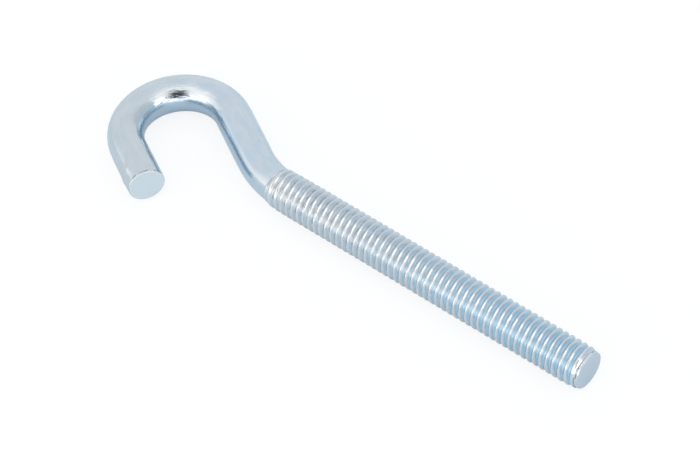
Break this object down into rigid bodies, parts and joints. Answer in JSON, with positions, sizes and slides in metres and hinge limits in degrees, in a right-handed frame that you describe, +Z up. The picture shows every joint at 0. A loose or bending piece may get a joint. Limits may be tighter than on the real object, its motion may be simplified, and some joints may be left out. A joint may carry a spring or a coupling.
{
  "type": "screw hook",
  "caption": "Open round hook on a straight shank with a metric machine thread, bent from plated steel rod, with a swan neck that keeps the hook in line with the thread.",
  "frame": {"origin": "on the thread's axis, where the straight shank meets the neck's bend", "axes": "+X along the thread's axis towards its point, +Y to the side that the neck bends to, +Z up out of the hook's plane"},
  "size_m": [0.0802, 0.0228, 0.0058],
  "materials": {
    "zinc": "bright zinc plating with a pale blue cast, fine lengthwise drawing marks"
  },
  "bodies": {
    "root": {"screw_hook": "zinc"}
  },
  "joints": []
}
